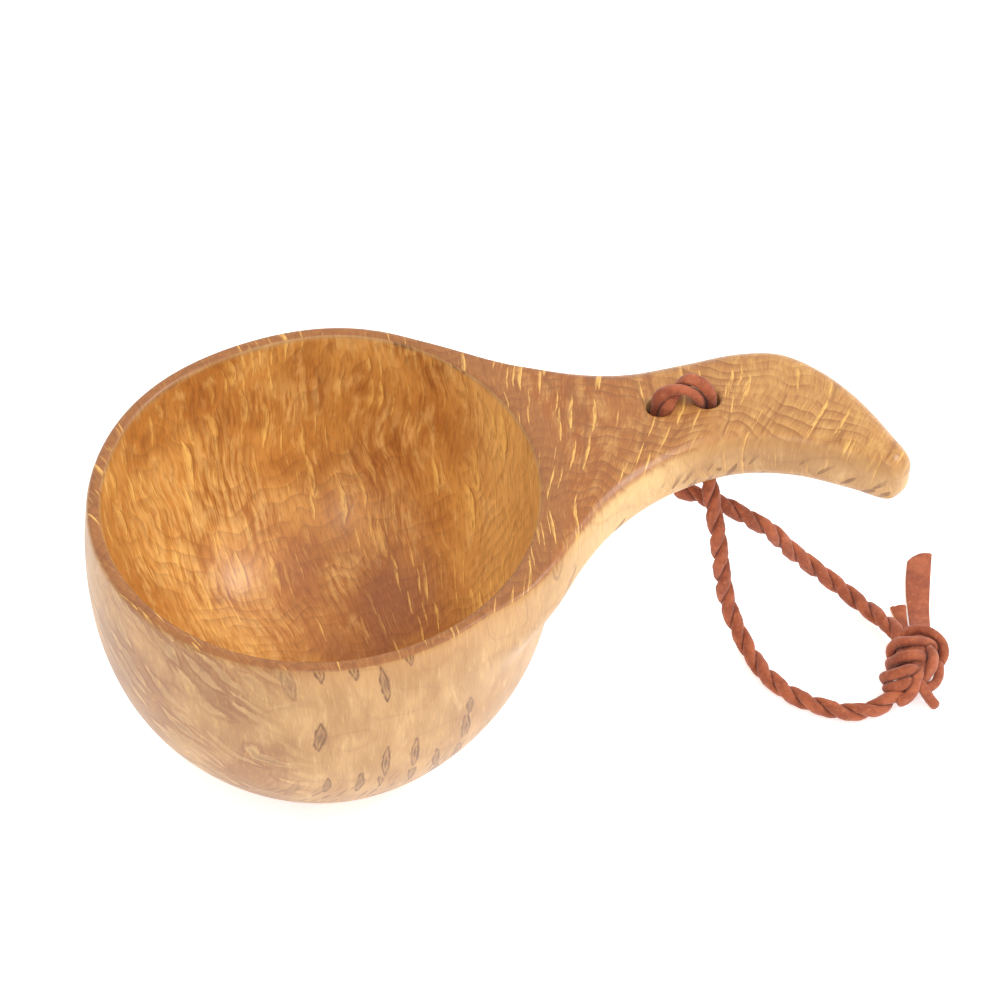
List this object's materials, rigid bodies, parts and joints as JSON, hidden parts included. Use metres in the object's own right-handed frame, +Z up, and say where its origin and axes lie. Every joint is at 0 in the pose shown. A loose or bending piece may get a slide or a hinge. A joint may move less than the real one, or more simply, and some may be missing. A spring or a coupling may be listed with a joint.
{
  "type": "kuksa drinking cup",
  "caption": "Round drinking cup carved from burl birch, with a flat hooked handle drilled for a knotted loop of twisted leather lace.",
  "frame": {"origin": "centre of the flat foot, on the bowl's axis", "axes": "+Z up out of the bowl, +X from the bowl along the handle, -Y the side that the handle's tip hooks towards"},
  "size_m": [0.1747, 0.0936, 0.063],
  "materials": {
    "burl_birch": "oiled, satin, curly burl figure",
    "leather": "matte split leather, red-brown"
  },
  "bodies": {
    "cup": {"cup_body": "burl_birch", "lanyard_bridge": "leather"},
    "lanyard": {"lanyard_leg_front": "leather", "lanyard_leg_back": "leather", "knot": "leather", "flat_tail": "leather", "short_tail": "leather", "thin_tail": "leather"}
  },
  "joints": [
    {"name": "lanyard_swing", "type": "hinge", "parent": "cup", "child": "lanyard", "pos_m": [0.07185, 0.02405, 0.0418], "axis": [-0.9718, -0.2359, 0], "range_deg": [0, 55]}
  ]
}
